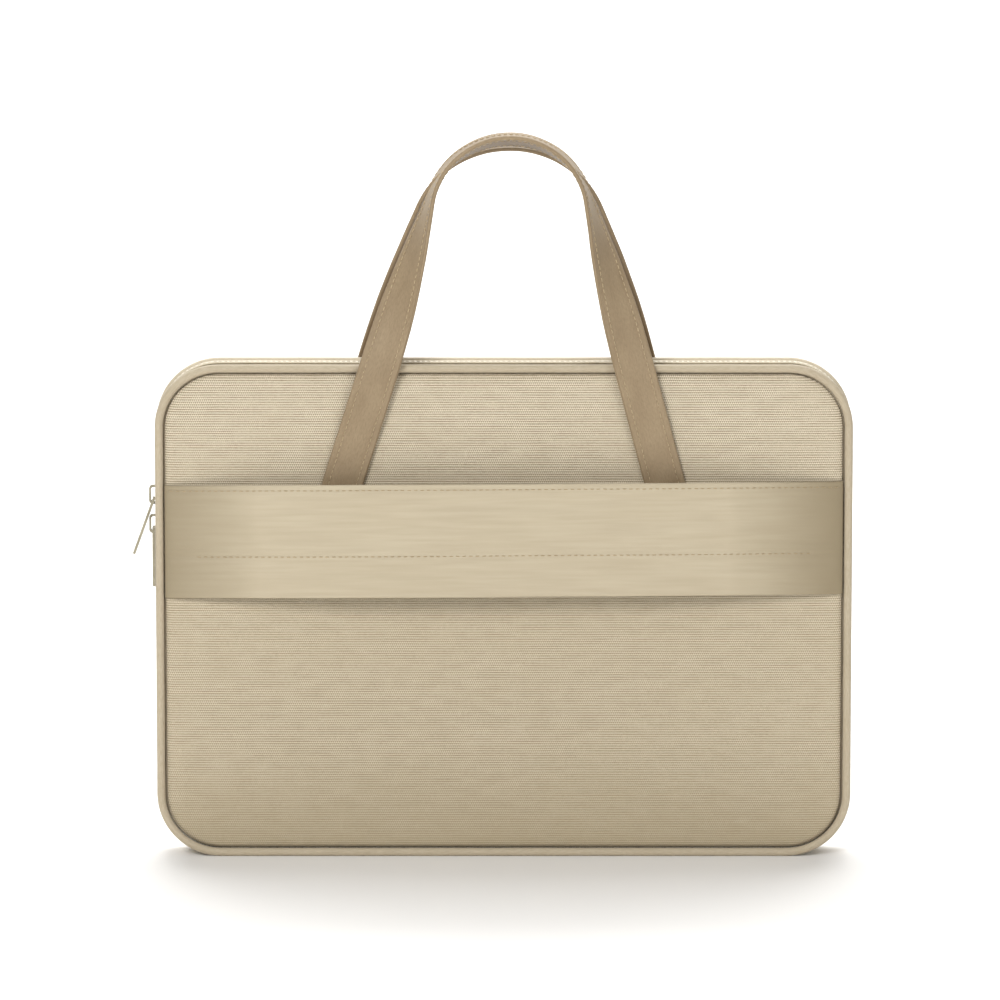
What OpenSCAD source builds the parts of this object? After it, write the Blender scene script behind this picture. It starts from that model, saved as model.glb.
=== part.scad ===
// Padded laptop sleeve with a pair of carry handles, a trolley strap across the back
// and a two-way zip over the top and both sides.
// X runs across the width, Y from the trolley side to the front, Z up from the base.

/* [Body] */
// Width over the piping
body_w = 365; // [300:1:420]
// Height over the piping
body_h = 262; // [220:1:300]
// Depth over the piping
body_d = 30; // [28:0.5:40]
// Outer radius of the four corners
corner_r = 33.5; // [20:0.5:40]
// Diameter of the piping
piping_d = 4.8; // [4:0.1:5.2]
// Diameter of the cord inside the piping
piping_cord_d = 3; // [2:0.1:3.2]
// Height at which the main zip ends on both sides
zip_end_z = 45; // [36:1:60]

/* [Layers] */
// Thickness of the outer canvas
canvas_t = 1.2; // [0.8:0.1:1.5]
// Thickness of the foam in the panels
foam_t = 4.4; // [3:0.1:5]
// Thickness of the lining
lining_t = 0.8; // [0.5:0.1:1]

/* [Trolley strap] */
// Height of the strap
strap_h = 60; // [40:1:70]
// Height of its lower edge above the base
strap_z = 139.5; // [100:1:150]
// Thickness of the strap
strap_t = 1.6; // [1:0.1:2]
// Clear depth behind the strap
strap_bow = 16.5; // [12:0.5:22]
// Half of the stretch that stands at the full depth
strap_flat = 88; // [60:1:100]
// Slope of the strap in degrees
strap_slope = 0.35; // [0:0.05:0.5]

/* [Handles] */
// Width of the handle straps
handle_w = 21; // [18:0.5:24]
// Thickness of the handle straps
handle_t = 2.2; // [1.6:0.1:2.6]
// Height at which the loops leave their sewn ends
handle_foot_z = 202; // [200:0.5:210]
// Distance from the middle to each foot of a handle
handle_foot_x = 83.5; // [70:0.5:95]
// Height of the rear loop's centreline at its top
rear_top_z = 379; // [350:1:390]
// Height of the front loop's centreline at its top
front_top_z = 376; // [350:0.5:390]
// Inward slope of the rear loop's legs in degrees
rear_leg_slope = 16.15; // [14:0.05:17]
// Inward slope of the front loop's legs in degrees
front_leg_slope = 15.15; // [14:0.05:17]

/* [Zips] */
// Length of a slider
slider_l = 11; // [9:0.5:13]
// Length of a pull from its bar to its tip
pull_l = 31; // [24:0.5:34]
// Lean of the upper pull from vertical, in degrees
upper_pull_lean = 20; // [19:1:30]
// Height of the middle of the upper slider
upper_slider_z = 191.2; // [180:0.1:195]
// Height of the middle of the lower slider
lower_slider_z = 175.7; // [160:0.1:176]

/* [Pocket] */
// Width of the front pocket
pocket_w = 290; // [200:1:310]
// Height of the pocket's lower edge above the base
pocket_z = 58; // [55:1:70]
// Height of the pocket
pocket_h = 106; // [80:1:110]

/* [Hidden] */
$fn = 48;
tiny = 0.05;
big = 1000;
body_gap = 0.4;
half_w = body_w / 2;
half_d = body_d / 2;
piping_r = piping_d / 2;
piping_y = half_d - piping_r;
canvas_in = half_d - canvas_t;
foam_in = canvas_in - foam_t;
lining_in = foam_in - tiny - lining_t;
gusset_half = half_d - piping_d - 0.1;
panel_inset = piping_d + 0.2;
flap_z = zip_end_z + body_gap / 2;
fold_z = zip_end_z - body_gap / 2;

coil_inset = 2.9;
coil_t = 2;
coil_gap = 0.8;
coil_w = 2;
coil_out = coil_gap + coil_w;
coil_mid = half_w - coil_inset - coil_t / 2;
facing_inset = 2.4;
facing_t = 1;
facing_in = 5.2;
tape_inset = 3.55;
tape_t = 0.7;
stop_l = 3;
stop_z = zip_end_z + 0.4;
coil_z = stop_z + stop_l + 0.2;
gusset_t = 1.4;
gusset_foam_t = 4;
binding_inset = 6.7;
binding_t = 1.1;
binding_w = 3.8;

plate_lift = coil_t / 2 + 0.3;
plate_t = 1.2;
slider_wide = 8.4;
slider_narrow = 6.8;
bridge_w = 2.4;
bridge_t = 1.1;
bridge_top = 7.6;
bridge_l = 10;
post_w = 1;
post_l = 3;
bar_lift = 5.2;
bar_along = 2.7;
bar_r = 0.7;
pull_w = 6.6;
pull_t = 1.4;
pull_slot = 8;
pull_slot_w = 3.2;

strap_end = half_w - panel_inset - 0.2;
strap_soft = 5;
strap_step = 5;

handle_y = half_d + 0.5 + handle_t / 2;
handle_end_l = 42;
handle_rings = 56;
handle_lean = 6.8;
handle_bow = 1.8;
handle_sway = 3;
twist_from = 35;
twist_top = 107;

pocket_t = 1.2;
pocket_lift = 2.4;
pocket_edge = 7;
pocket_r = 14;
pocket_zip_drop = 14;
pocket_slot = 7.4;
pocket_slot_inset = 14;
pocket_coil_t = 1.6;
pocket_under_t = 0.8;
pocket_tape_t = 0.6;
pocket_tape_w = 3.8;
pocket_coil_y = half_d + pocket_lift + 0.2;
pocket_zip_z = pocket_z + pocket_h - pocket_zip_drop;
pocket_zip_half = pocket_w / 2 - pocket_slot_inset;
pocket_slider_x = pocket_zip_half - 12;

canvas_colour = [0.80, 0.74, 0.61];
strap_colour = [0.79, 0.73, 0.60];
handle_colour = [0.68, 0.60, 0.47];
piping_colour = [0.78, 0.71, 0.57];
lining_colour = [0.70, 0.66, 0.58];
foam_colour = [0.90, 0.89, 0.86];
cord_colour = [0.93, 0.92, 0.88];
tape_colour = [0.85, 0.80, 0.68];
coil_colour = [0.82, 0.77, 0.65];
metal_colour = [0.64, 0.61, 0.52];

// Rounded rectangle from squares and circles, centred across, standing on its own base line
module rounded(w, h, r) {
  translate([-w / 2 + r, 0]) square([w - 2 * r, h]);
  translate([-w / 2, r]) square([w, h - 2 * r]);
  for (x = [-w / 2 + r, w / 2 - r], z = [r, h - r]) translate([x, z]) circle(r);
}

// Outline of the sleeve seen from the front, moved in by inset
module outline(inset) {
  translate([0, inset]) rounded(body_w - 2 * inset, body_h - 2 * inset, corner_r - inset);
}

// Stands a flat shape up in the XZ plane, from y0 to y1
module upright(y0, y1) {
  translate([0, y1, 0]) rotate([90, 0, 0]) linear_extrude(y1 - y0) children();
}

module panel(inset, y0, y1) {
  upright(y0, y1) outline(inset);
}

module band(inset, t, y0, y1) {
  upright(y0, y1) difference() {
    outline(inset);
    outline(inset + t);
  }
}

module above(z) {
  intersection() {
    children();
    translate([-big / 2, -big / 2, z]) cube(big);
  }
}

module below(z) {
  intersection() {
    children();
    translate([-big / 2, -big / 2, z - big]) cube(big);
  }
}

// Round cord of diameter d along the seam line, in the plane at y
module seam_ring(d, y) {
  arc_r = corner_r - piping_r;
  left = half_w - corner_r;
  top = body_h - corner_r;
  translate([0, y, 0]) {
    for (s = [-1, 1]) {
      translate([s * (half_w - piping_r), 0, corner_r]) cylinder(h = top - corner_r, d = d);
      translate([-left, 0, s > 0 ? body_h - piping_r : piping_r])
        rotate([0, 90, 0]) cylinder(h = 2 * left, d = d);
    }
    corner_arc([left, 0, top], 0, arc_r, d);
    corner_arc([-left, 0, top], 90, arc_r, d);
    corner_arc([-left, 0, corner_r], 180, arc_r, d);
    corner_arc([left, 0, corner_r], 270, arc_r, d);
  }
}

module corner_arc(at, start, r, d) {
  translate(at) rotate([90, 0, 0]) rotate([0, 0, start])
    rotate_extrude(angle = 90) translate([r, 0]) circle(d = d);
}

module welt(y) {
  difference() {
    seam_ring(piping_d, y);
    seam_ring(piping_cord_d + 2 * tiny, y);
  }
}

// Rear shell, on the trolley side
module rear_canvas() {
  color(canvas_colour) panel(panel_inset, -half_d, -canvas_in);
}

module rear_foam() {
  color(foam_colour) panel(panel_inset, -canvas_in + tiny, -foam_in);
}

module rear_lining() {
  color(lining_colour) panel(panel_inset, -foam_in + tiny, -lining_in);
}

module rear_piping() {
  color(piping_colour) welt(-piping_y);
}

module rear_piping_cord() {
  color(cord_colour) seam_ring(piping_cord_d, -piping_y);
}

module rear_binding() {
  color(lining_colour) band(binding_inset, binding_t, -lining_in + tiny, -lining_in + binding_w);
}

// Bottom and lower corners
module lower_gusset() {
  color(canvas_colour) below(fold_z) band(0, gusset_t, -gusset_half, gusset_half);
}

module lower_gusset_foam() {
  color(foam_colour) below(fold_z)
    band(gusset_t + tiny, gusset_foam_t, -lining_in + tiny, lining_in - tiny);
}

module lower_gusset_lining() {
  color(lining_colour) below(fold_z)
    band(gusset_t + gusset_foam_t + 2 * tiny, lining_t, -lining_in + tiny, lining_in - tiny);
}

// Front panel below the fold line
module lower_front_canvas() {
  color(canvas_colour) below(fold_z) panel(panel_inset, canvas_in, half_d);
}

module lower_front_foam() {
  color(foam_colour) below(fold_z) panel(panel_inset, foam_in, canvas_in - tiny);
}

module lower_front_lining() {
  color(lining_colour) below(fold_z) panel(panel_inset, lining_in, foam_in - tiny);
}

module lower_front_piping() {
  color(piping_colour) below(fold_z) welt(piping_y);
}

module lower_front_piping_cord() {
  color(cord_colour) below(fold_z) seam_ring(piping_cord_d, piping_y);
}

module lower_front_binding() {
  color(lining_colour) below(fold_z)
    band(binding_inset, binding_t, lining_in - binding_w, lining_in - tiny);
}

// Main zip: one half on the rear shell, one on the flap
module zip_facing() {
  above(flap_z) band(facing_inset, facing_t, facing_in, gusset_half);
}

module zip_tape() {
  above(flap_z) band(tape_inset, tape_t, coil_out + tiny, gusset_half);
}

module zip_coil() {
  above(coil_z) band(coil_inset, coil_t, coil_gap, coil_out);
}

module rear_zip_facing() {
  color(canvas_colour) mirror([0, 1, 0]) zip_facing();
}

module rear_zip_tape() {
  color(tape_colour) mirror([0, 1, 0]) zip_tape();
}

module rear_zip_coil() {
  color(coil_colour) mirror([0, 1, 0]) zip_coil();
}

module zip_end_stops() {
  color(metal_colour)
    for (s = [-1, 1])
      translate([s * coil_mid - coil_t / 2, -coil_out, stop_z]) cube([coil_t, 2 * coil_out, stop_l]);
}

// Trolley strap: straight runs from both seams up to a middle stretch that stands off the back
function strap_run(x) = strap_bow * (strap_end - abs(x)) / (strap_end - strap_flat);
function soft_min(a, b) = (a + b - sqrt((a - b) * (a - b) + strap_soft * strap_soft)) / 2;
function strap_lift(x) = soft_min(strap_run(x), strap_bow) - soft_min(0, strap_bow);

module trolley_strap() {
  steps = floor(2 * strap_end / strap_step);
  xs = [for (i = [0:steps]) -strap_end + 2 * strap_end * i / steps];
  inner = [for (x = xs) [x, -half_d - tiny - strap_lift(x)]];
  outer = [for (i = [steps:-1:0]) [xs[i], -half_d - tiny - strap_t - strap_lift(xs[i])]];
  color(strap_colour) translate([0, 0, strap_z + strap_h / 2]) rotate([0, -strap_slope, 0])
    translate([0, 0, -strap_h / 2]) linear_extrude(strap_h) polygon(concat(inner, outer));
}

// Handles. A loop has two straight legs that lean inwards and a round top between them.
function top_radius(top, a) =
  (handle_foot_x - (top - handle_foot_z) * tan(a)) / (cos(a) - tan(a) * (1 - sin(a)));
function leg_length(top, a) =
  (top - top_radius(top, a) * (1 - sin(a)) - handle_foot_z) / cos(a);
function half_length(top, a) = leg_length(top, a) + top_radius(top, a) * (90 - a) * PI / 180;

// Angle of the loop's outward direction at distance d from a foot
function loop_angle(d, top, a) =
  a + max(0, d - leg_length(top, a)) / top_radius(top, a) * 180 / PI;
function loop_x(d, top, a) = d < leg_length(top, a)
  ? handle_foot_x - d * sin(a)
  : top_radius(top, a) * cos(loop_angle(d, top, a));
function loop_z(d, top, a) = d < leg_length(top, a)
  ? handle_foot_z + d * cos(a)
  : top - top_radius(top, a) * (1 - sin(loop_angle(d, top, a)));
function ease(t) = t <= 0 ? 0 : t >= 1 ? 1 : t * t * (3 - 2 * t);

// Corners of the strap's section: its width runs across the legs and along Y at the top.
// The first 20 mm turn from a level cut to one square to the leg, and the leg bows out
// far enough for its turning edge to pass the piping.
function loop_ring(u, top, a) =
  let (
    side = u < 0 ? -1 : 1,
    half = half_length(top, a),
    d = (1 - abs(u)) * half,
    turn = ease((d - twist_from) / (half - twist_from)),
    square_on = ease(d / 20),
    n = loop_angle(d, top, a) * square_on,
    out = [side * cos(n), 0, sin(n)],
    half_wide = handle_w / 2 / cos(loop_angle(d, top, a) * (1 - square_on)),
    w = turn * twist_top,
    wide = half_wide * (cos(w) * out + sin(w) * [0, 1, 0]),
    thick = handle_t / 2 * (sin(w) * out - cos(w) * [0, 1, 0]),
    z = loop_z(d, top, a),
    sway = handle_sway * sin(90 * (z - handle_foot_z) / (top - handle_foot_z)),
    stand_off = handle_y + handle_bow * ease(d / 60) - handle_lean * turn,
    mid = [side * loop_x(d, top, a) + sway, -stand_off, z]
  )
  [mid + wide + thick, mid + wide - thick, mid - wide - thick, mid - wide + thick];

module handle_loop(top, a) {
  points = [for (i = [0:handle_rings]) each loop_ring(2 * i / handle_rings - 1, top, a)];
  sides = [
    for (i = [0:handle_rings - 1], j = [0:3])
      [4 * i + j, 4 * i + (j + 1) % 4, 4 * (i + 1) + (j + 1) % 4, 4 * (i + 1) + j]
  ];
  caps = [[3, 2, 1, 0], [for (j = [0:3]) 4 * handle_rings + j]];
  polyhedron(points, concat(sides, caps), convexity = 6);
}

// Sewn ends of a handle, lying on the panel below its feet
module handle_ends(a) {
  end_z = handle_foot_z - body_gap - 0.1;
  for (s = [-1, 1])
    below(end_z)
      translate([s * handle_foot_x, -half_d - tiny, handle_foot_z]) rotate([0, -s * a, 0])
        translate([-handle_w / 2, -handle_t, -handle_end_l]) cube([handle_w, handle_t, 2 * handle_end_l]);
}

module rear_handle_ends() {
  color(handle_colour) handle_ends(rear_leg_slope);
}

module rear_handle_loop() {
  color(handle_colour) handle_loop(rear_top_z, rear_leg_slope);
}

module front_handle_ends() {
  color(handle_colour) mirror([0, 1, 0]) above(pocket_z + pocket_h + 3) handle_ends(front_leg_slope);
}

module front_handle_loop() {
  color(handle_colour) mirror([0, 1, 0]) handle_loop(front_top_z, front_leg_slope);
}

// Flap: the front panel above the fold line
module flap_canvas() {
  color(canvas_colour) above(flap_z) panel(panel_inset, canvas_in, half_d);
}

module flap_foam() {
  color(foam_colour) above(flap_z) panel(panel_inset, foam_in, canvas_in - tiny);
}

module flap_lining() {
  color(lining_colour) above(flap_z) panel(panel_inset, lining_in, foam_in - tiny);
}

module flap_piping() {
  color(piping_colour) above(flap_z) welt(piping_y);
}

module flap_piping_cord() {
  color(cord_colour) above(flap_z) seam_ring(piping_cord_d, piping_y);
}

module flap_binding() {
  color(lining_colour) above(flap_z)
    band(binding_inset, binding_t, lining_in - binding_w, lining_in - tiny);
}

module flap_zip_facing() {
  color(canvas_colour) zip_facing();
}

module flap_zip_tape() {
  color(tape_colour) zip_tape();
}

module flap_zip_coil() {
  color(coil_colour) zip_coil();
}

// Flat patch pocket on the flap, with a zip across its top
module pocket_panel() {
  color(canvas_colour) {
    upright(half_d + pocket_lift, half_d + pocket_lift + pocket_t) difference() {
      translate([0, pocket_z]) rounded(pocket_w, pocket_h, pocket_r);
      translate([-pocket_zip_half, pocket_zip_z - pocket_slot / 2])
        square([2 * pocket_zip_half, pocket_slot]);
    }
    upright(half_d + tiny, half_d + pocket_lift) difference() {
      translate([0, pocket_z]) rounded(pocket_w, pocket_h, pocket_r);
      translate([0, pocket_z + pocket_edge])
        rounded(pocket_w - 2 * pocket_edge, pocket_h - 2 * pocket_edge, pocket_r - pocket_edge);
    }
  }
}

// A pair of bars above and below the middle of the pocket's zip
module zip_rows(half_l, y0, t, from, w) {
  for (s = [0, 1])
    translate([0, 0, pocket_zip_z]) mirror([0, 0, s])
      translate([-half_l, y0, from]) cube([2 * half_l, t, w]);
}

module pocket_zip_tape() {
  color(tape_colour)
    zip_rows(pocket_zip_half, half_d + pocket_lift - tiny - pocket_tape_t, pocket_tape_t,
      coil_out + tiny, pocket_tape_w);
}

module pocket_zip_coil() {
  color(coil_colour)
    zip_rows(pocket_zip_half - 1 - stop_l, pocket_coil_y - pocket_coil_t / 2, pocket_coil_t,
      coil_gap, coil_w);
}

module pocket_zip_stops() {
  color(metal_colour)
    for (s = [0, 1])
      mirror([s, 0, 0])
        translate([pocket_zip_half - 0.5 - stop_l / 2, pocket_coil_y, pocket_zip_z])
          cube([stop_l, pocket_coil_t, 2 * coil_out], center = true);
}

// Slider: +Z faces outwards, +X is its nose. Two plates on a centre post, with a bridge on top.
module slider(under) {
  translate([0, 0, plate_lift]) linear_extrude(plate_t) plate_outline();
  translate([0, 0, -plate_lift - under]) linear_extrude(under) plate_outline();
  translate([slider_l / 2 - post_l - 1, -post_w / 2, -plate_lift])
    cube([post_l, post_w, 2 * plate_lift]);
  rotate([90, 0, 0]) translate([0, 0, -bridge_w / 2]) linear_extrude(bridge_w) bridge_side();
}

module plate_outline() {
  shoulder = 2;
  nose_half = slider_wide / 2 - 1.6;
  polygon([
    [-slider_l / 2, -slider_narrow / 2],
    [slider_l / 2 - shoulder, -slider_wide / 2],
    [slider_l / 2, -nose_half],
    [slider_l / 2, nose_half],
    [slider_l / 2 - shoulder, slider_wide / 2],
    [-slider_l / 2, slider_narrow / 2]
  ]);
}

// Side view of the bridge: a low arch with an open middle
module bridge_side() {
  foot = plate_lift + plate_t;
  rise = bridge_top - foot;
  difference() {
    bridge_bar(bridge_l, foot, rise, 2);
    bridge_bar(bridge_l - 2 * bridge_t, foot, rise - bridge_t, 1.2);
  }
}

module bridge_bar(l, foot, rise, r) {
  translate([-l / 2, foot]) square([l, rise - r]);
  translate([-l / 2 + r, foot]) square([l - 2 * r, rise]);
  for (s = [-1, 1]) translate([s * (l / 2 - r), foot + rise - r]) circle(r);
}

// Pull: its bar lies along Y at the origin and its tab runs along -X
module pull() {
  tip_r = pull_w / 2 + 0.2;
  rotate([90, 0, 0]) cylinder(h = pull_w - 1, r = bar_r, center = true);
  translate([0, 0, -pull_t / 2]) linear_extrude(pull_t) difference() {
    union() {
      translate([-pull_l + tip_r, -pull_w / 2]) square([pull_l - tip_r + 1, pull_w]);
      translate([-pull_l + tip_r, 0]) circle(tip_r);
    }
    translate([-pull_slot, -pull_slot_w / 2]) square([pull_slot + 2, pull_slot_w]);
    translate([-pull_l + tip_r, 0]) circle(1.7);
  }
}

// Places a slider's parts on the left run of the main zip, nose up or down
module on_side_zip(z, nose) {
  translate([-coil_mid, 0, z]) rotate([0, -90, 0]) mirror([nose > 0 ? 0 : 1, 0, 0]) children();
}

module upper_slider() {
  color(metal_colour) on_side_zip(upper_slider_z, -1) slider(plate_t);
}

module lower_slider() {
  color(metal_colour) on_side_zip(lower_slider_z, 1) slider(plate_t);
}

module hung_pull(z, lean) {
  translate([-coil_mid - bar_lift, 0, z - bar_along]) rotate([0, lean - 90, 0]) pull();
}

module upper_pull() {
  color(metal_colour) hung_pull(upper_slider_z, upper_pull_lean);
}

module lower_pull() {
  color(metal_colour) hung_pull(lower_slider_z, 0);
}

// The pocket's slider closes towards +X
module pocket_slider() {
  color(metal_colour) translate([pocket_slider_x, pocket_coil_y, pocket_zip_z])
    rotate([-90, 0, 0]) slider(pocket_under_t);
}

module pocket_pull() {
  color(metal_colour) translate([pocket_slider_x - bar_along, pocket_coil_y + bar_lift, pocket_zip_z])
    rotate([-90, 0, 0]) pull();
}

rear_canvas();
rear_foam();
rear_lining();
rear_piping();
rear_piping_cord();
rear_binding();
lower_gusset();
lower_gusset_foam();
lower_gusset_lining();
lower_front_canvas();
lower_front_foam();
lower_front_lining();
lower_front_piping();
lower_front_piping_cord();
lower_front_binding();
rear_zip_facing();
rear_zip_tape();
rear_zip_coil();
zip_end_stops();
trolley_strap();
rear_handle_ends();
rear_handle_loop();
flap_canvas();
flap_foam();
flap_lining();
flap_piping();
flap_piping_cord();
flap_binding();
flap_zip_facing();
flap_zip_tape();
flap_zip_coil();
pocket_panel();
pocket_zip_tape();
pocket_zip_coil();
pocket_zip_stops();
front_handle_ends();
front_handle_loop();
upper_slider();
upper_pull();
lower_slider();
lower_pull();
pocket_slider();
pocket_pull();
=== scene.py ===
"""Padded laptop sleeve: its fabric, zips and metal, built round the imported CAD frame.

Sizes are in millimetres unless a comment says otherwise, and make() turns them to metres.
X runs across the width, Y from the trolley side to the front, Z up from the base.
"""

import math
from collections import namedtuple

import bmesh
import bpy
import numpy as np
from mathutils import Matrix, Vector


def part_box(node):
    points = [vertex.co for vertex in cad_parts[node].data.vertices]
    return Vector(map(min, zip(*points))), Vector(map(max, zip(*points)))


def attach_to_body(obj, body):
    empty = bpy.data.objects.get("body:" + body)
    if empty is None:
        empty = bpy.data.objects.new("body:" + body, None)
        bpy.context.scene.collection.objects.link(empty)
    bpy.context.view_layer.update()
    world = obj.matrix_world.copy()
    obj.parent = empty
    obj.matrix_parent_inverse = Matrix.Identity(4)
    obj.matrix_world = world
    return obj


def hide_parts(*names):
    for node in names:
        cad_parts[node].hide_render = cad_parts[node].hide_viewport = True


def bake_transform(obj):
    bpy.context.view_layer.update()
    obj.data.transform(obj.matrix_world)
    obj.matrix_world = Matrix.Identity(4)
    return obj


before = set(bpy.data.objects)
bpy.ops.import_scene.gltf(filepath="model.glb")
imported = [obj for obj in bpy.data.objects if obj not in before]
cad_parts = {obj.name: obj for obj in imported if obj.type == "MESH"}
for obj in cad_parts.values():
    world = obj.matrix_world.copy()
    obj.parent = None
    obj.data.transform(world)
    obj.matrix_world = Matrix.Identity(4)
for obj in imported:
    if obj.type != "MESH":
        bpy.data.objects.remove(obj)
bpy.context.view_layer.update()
X, Y, Z = 0, 1, 2
REAR, FRONT = -1, 1
SIDES = (REAR, "rear"), (FRONT, "front")


def span(node, axis):
    """Lowest and highest place of a CAD node along an axis."""
    low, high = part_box(node)
    return low[axis] * 1000, high[axis] * 1000


# The sleeve's outline and layers. CORNER_R and the handle slopes repeat part.scad.
HALF_W = span("rear_piping", X)[1]
BODY_H = span("rear_piping", Z)[1]
HALF_D = -span("rear_piping", Y)[0]
CORNER_R = 33.5
PIPING_R = (span("rear_piping", Y)[1] + HALF_D) / 2 - 0.2
PIPING_Y = HALF_D - PIPING_R
GUSSET_HALF = span("lower_gusset", Y)[1]
FOLD_Z = (span("lower_front_canvas", Z)[1] + span("flap_canvas", Z)[0]) / 2
FOLD_GAP = FOLD_Z - span("lower_front_canvas", Z)[1]
PANEL_INSET = span("rear_canvas", Z)[0]
FOAM_Y = -span("rear_foam", Y)[1]
LINING_Y = -span("rear_lining", Y)[1], -span("rear_lining", Y)[0]
PAD_INSET = PANEL_INSET + 0.35
PAD_FACE = 14.45
PAD_EDGE = 12.3
DOME = 0.4

GUSSET_W = 2 * GUSSET_HALF + 1.6
COIL_ROW = 1.45

# Strips along the outline: the inset of their middle, the depths of both edges and the thickness
FACING = 1.9, 5.2, 11.4, 1.0
TAPE = 3.9, 2.85, 10.1, 0.6
FLANGE = 4.85, 9.6, 10.9, 1.1
BINDING = 7.25, 4.8, 8.5, 1.0

Path = namedtuple("Path", "x z nx nz s looped")


def ease(t):
    """Smooth step from 0 to 1."""
    t = np.clip(t, 0, 1)
    return t * t * (3 - 2 * t)


def unit(v):
    """Vectors scaled to length 1."""
    return v / np.linalg.norm(v, axis=-1, keepdims=True)


def distances(points):
    """Distance of each point from the first, along the line through them."""
    return np.concatenate([[0], np.cumsum(np.linalg.norm(np.diff(points, axis=0), axis=1))])


def waves(a, b, size, seed):
    """Smooth unevenness, mostly from -1 to 1, with humps about as wide as size."""
    rng = np.random.default_rng(seed)
    total = 0
    for _ in range(9):
        angle, phase = rng.uniform(0, 2 * math.pi, 2)
        pace = rng.uniform(0.5, 1.4) * math.pi / size
        total = total + np.sin((a * math.cos(angle) + b * math.sin(angle)) * pace + phase)
    return total / 4


# Meshes


def make(name, points, faces, cloth, material):
    """A mesh piece. cloth is each point's place on the flat cloth, which the materials read."""
    mesh = bpy.data.meshes.new(name)
    mesh.from_pydata((np.asarray(points).reshape(-1, 3) / 1000).tolist(), [], faces)
    attribute = mesh.attributes.new("cloth", "FLOAT_VECTOR", "POINT")
    attribute.data.foreach_set("vector", (cloth.reshape(-1, 3) / 1000).astype(np.float32).ravel())
    bm = bmesh.new()
    bm.from_mesh(mesh)
    bmesh.ops.recalc_face_normals(bm, faces=bm.faces)
    bm.to_mesh(mesh)
    bm.free()
    mesh.shade_smooth()
    mesh.materials.append(material)
    obj = bpy.data.objects.new(name, mesh)
    bpy.context.scene.collection.objects.link(obj)
    return obj


def loft(name, rings, cloth, material, looped=False):
    """A closed skin over rings of equally many points. looped joins the last to the first."""
    index = np.arange(rings.shape[0] * rings.shape[1]).reshape(rings.shape[:2])
    near = index if looped else index[:-1]
    far = np.roll(index, -1, 0) if looped else index[1:]
    quads = np.stack([near, np.roll(near, -1, 1), np.roll(far, -1, 1), far], -1)
    faces = quads.reshape(-1, 4).tolist()
    if not looped:
        faces += [index[0].tolist(), index[-1].tolist()]
    return make(name, rings, faces, cloth, material)


def walk_round():
    """Corner centres and outward angles, clockwise from the fold on the left side."""
    x, low, high = HALF_W - CORNER_R, CORNER_R, BODY_H - CORNER_R
    turn = np.linspace(0, 90, 31)
    points = [(-x, FOLD_Z, 180)]
    for cx, cz, start in ((-x, high, 180), (x, high, 90), (x, low, 0), (-x, low, -90)):
        if cz == low and cx == x:
            points.append((x, FOLD_Z, 0))
        points += [(cx, cz, start - a) for a in turn]
    points.append((-x, FOLD_Z, -180))
    return np.array(points)


def rim(part, inset, step):
    """Even steps along the outline at an inset: all of it, or the part above or below the fold."""
    points = walk_round()
    angle = np.radians(points[:, 2])
    out = np.stack([np.cos(angle), np.sin(angle)], 1)
    place = points[:, :2] + (CORNER_R - inset) * out
    s = distances(place)
    fold = s[np.flatnonzero((points[:, 1] == FOLD_Z) & (points[:, 2] == 0))[0]]
    ends = {
        "full": (0, s[-1]),
        "upper": (FOLD_GAP, fold - FOLD_GAP),
        "lower": (fold + FOLD_GAP, s[-1] - FOLD_GAP),
    }[part]
    count = round((ends[1] - ends[0]) / step)
    at = np.linspace(*ends, count + 1)
    if part == "full":
        at = at[:-1]
    x, z, a = (np.interp(at, s, column) for column in (points[:, 0], points[:, 1], angle))
    return Path(x, z, np.cos(a), np.sin(a), at - at[0], part == "full")


def on_rim(path, inset, y):
    """Points along a path at an inset and depth."""
    reach = CORNER_R - inset
    return np.stack([path.x + reach * path.nx, path.x * 0 + y, path.z + reach * path.nz], 1)


def sweep(name, path, section, material):
    """A band along the outline. section has rows of (inset, y), the same or one set per step."""
    section = np.asarray(section, float)
    if section.ndim == 2:
        section = np.broadcast_to(section, (len(path.s), *section.shape))
    reach = CORNER_R - section[..., 0]
    rings = np.stack(
        [
            path.x[:, None] + reach * path.nx[:, None],
            section[..., 1],
            path.z[:, None] + reach * path.nz[:, None],
        ],
        -1,
    )
    around = distances(section[0])
    s = np.broadcast_to(path.s[:, None], reach.shape)
    cloth = np.stack([s, np.broadcast_to(around, reach.shape), 0 * s], -1)
    return loft(name, rings, cloth, material, path.looped)


def strip(inset, y, thick, wide, count=8):
    """Section of a strip of cloth, its middle at (inset, y), with rounded edges along y."""
    r = thick / 2
    flat = np.linspace(-wide / 2 + r, wide / 2 - r, count)
    bend = np.radians([60, 20, -20, -60])
    outer = [(-r, v) for v in flat]
    far = [(-r * math.sin(a), wide / 2 - r + r * math.cos(a)) for a in bend]
    inner = [(r, v) for v in flat[::-1]]
    near = [(r * math.sin(a), -wide / 2 + r - r * math.cos(a)) for a in bend]
    return np.array(inner + near + outer + far) + (inset, y)


# Panels


def edge_levels(radius, side):
    """Distances in from an edge: even steps round the corner's arc, then on to side."""
    arc = radius * (1 - np.cos(np.radians(np.linspace(0, 90, 14))))
    return np.concatenate([arc, np.linspace(radius, side, max(2, round((side - radius) / 4)))[1:]])


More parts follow.
